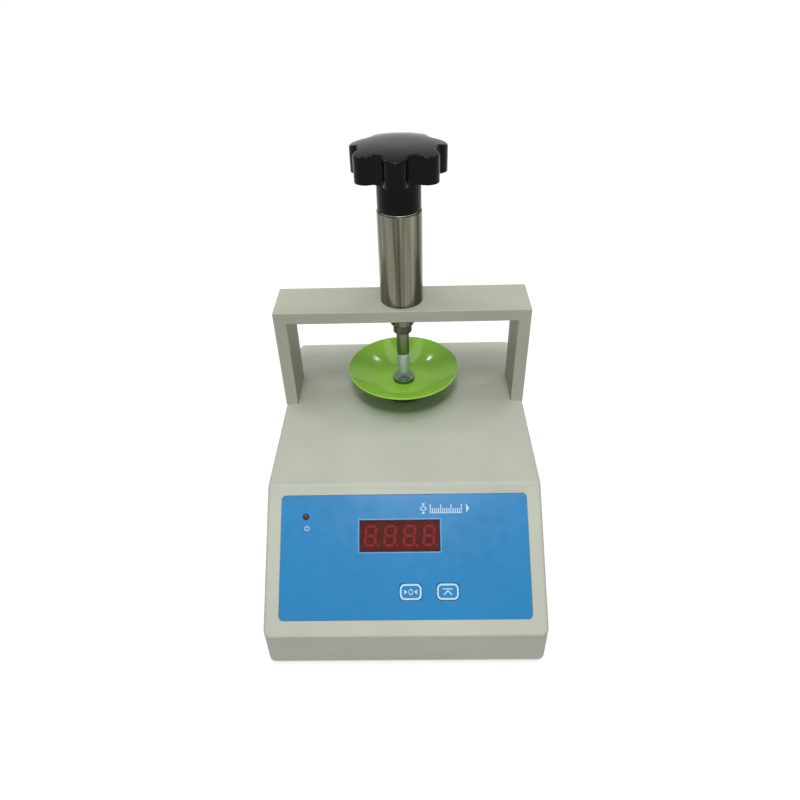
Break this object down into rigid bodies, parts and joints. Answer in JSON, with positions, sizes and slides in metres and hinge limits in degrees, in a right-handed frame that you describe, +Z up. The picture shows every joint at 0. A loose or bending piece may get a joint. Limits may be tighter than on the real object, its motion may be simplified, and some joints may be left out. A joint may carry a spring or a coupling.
{
  "type": "hardness tester",
  "caption": "Bench hardness tester for tablets and granules: a hand-turned spindle presses the sample onto a small anvil in a dish, and a sloped panel shows the force.",
  "frame": {"origin": "on the bench, at the middle of the footprint", "axes": "+X to the right of someone facing the panel, +Y away from them, +Z up"},
  "size_m": [0.18, 0.252, 0.28],
  "materials": {
    "case_plastic": "moulded ABS with a fine texture, warm grey green",
    "frame_paint": "satin paint on a cast aluminium frame",
    "plate_paint": "dark grey powder coat",
    "polished_steel": "turned and polished",
    "bright_steel": "ground, bright",
    "zinc_steel": "zinc plated",
    "load_aluminium": "milled, clear anodised",
    "bronze": "sintered bronze",
    "pin_brass": "nickel plated brass",
    "knob_black": "glossy moulded bakelite",
    "dish_green": "glossy moulded green plastic",
    "seat_black": "black moulded plastic",
    "foot_rubber": "moulded rubber",
    "film_blue": "printed polyester film, semi gloss",
    "filter_red": "tinted acrylic",
    "display_black": "black moulded plastic",
    "display_bars": "cast epoxy light bars, unlit",
    "lamp_red": "tinted epoxy lens, unlit",
    "board_green": "glass fibre board with green resist",
    "component_black": "moulded component cases",
    "laminated_steel": "stacked laminations, varnished",
    "coil_wrap": "yellow insulating tape",
    "fitting_black": "black moulded plastic",
    "fuse_glass": "clear glass tube"
  },
  "bodies": {
    "base": {"upper_case": "case_plastic", "base_plate": "plate_paint", "base_screws": "zinc_steel", "rubber_feet": "foot_rubber", "foot_screws": "zinc_steel", "foot_nuts": "zinc_steel", "gantry_frame": "frame_paint", "leg_screws": "zinc_steel", "force_bridge": "zinc_steel", "bridge_screws": "zinc_steel", "load_cell_block": "load_aluminium", "load_cell": "load_aluminium", "load_cell_screws": "zinc_steel", "overload_stop": "zinc_steel", "dish_post": "bright_steel", "dish_seat": "seat_black", "sample_dish": "dish_green", "anvil": "bright_steel", "spindle_sleeve": "polished_steel", "sleeve_nut": "polished_steel", "lock_nut": "polished_steel", "spindle_bush": "bronze", "thrust_washer": "bright_steel", "guide_screw": "zinc_steel", "display_filter": "filter_red", "display_module": "display_black", "display_digits": "display_bars", "power_lamp": "lamp_red", "panel_overlay": "film_blue", "tact_switches": "component_black", "panel_board": "board_green", "panel_screws": "zinc_steel", "main_board": "board_green", "board_pillars": "pin_brass", "board_screws": "zinc_steel", "board_components": "component_black", "transformer_core": "laminated_steel", "transformer_coil": "coil_wrap", "transformer_strap": "zinc_steel", "transformer_screws": "zinc_steel", "power_inlet": "fitting_black", "inlet_pins": "pin_brass", "inlet_screws": "zinc_steel", "inlet_nuts": "zinc_steel", "switch_housing": "fitting_black", "fuse_holder": "fitting_black", "fuse_cap": "fitting_black", "fuse": "fuse_glass"},
    "spindle_knob": {"knob": "knob_black", "knob_insert": "pin_brass", "knob_set_screw": "zinc_steel", "lead_screw": "bright_steel"},
    "press_plunger": {"plunger": "polished_steel", "press_head": "bright_steel"},
    "zero_button": {"zero_key": "film_blue"},
    "hold_button": {"hold_key": "film_blue"},
    "mains_rocker": {"power_rocker": "fitting_black"}
  },
  "joints": [
    {"name": "knob_turn", "type": "hinge", "parent": "base", "child": "spindle_knob", "pos_m": [0, 0.0527, 0.237], "axis": [0, 0, 1], "range_deg": [-1005, 2875]},
    {"name": "plunger_slide", "type": "slide", "parent": "base", "child": "press_plunger", "axis": [0, 0, 1], "range_m": [-0.0042, 0.012]},
    {"name": "zero_key_press", "type": "slide", "parent": "base", "child": "zero_button", "axis": [0, 0.6381, -0.7699], "range_m": [0, 0.0004], "stiffness_N_per_m": 1000, "springref_m": -0.001},
    {"name": "hold_key_press", "type": "slide", "parent": "base", "child": "hold_button", "axis": [0, 0.6381, -0.7699], "range_m": [0, 0.0004], "stiffness_N_per_m": 1000, "springref_m": -0.001},
    {"name": "rocker_tilt", "type": "hinge", "parent": "base", "child": "mains_rocker", "pos_m": [0.008, 0.1195, 0.038], "axis": [1, 0, 0], "range_deg": [0, 20]}
  ],
  "couplings": [
    {"joint": "plunger_slide", "follows": "knob_turn", "m_per_rad": 0.00023873}
  ]
}
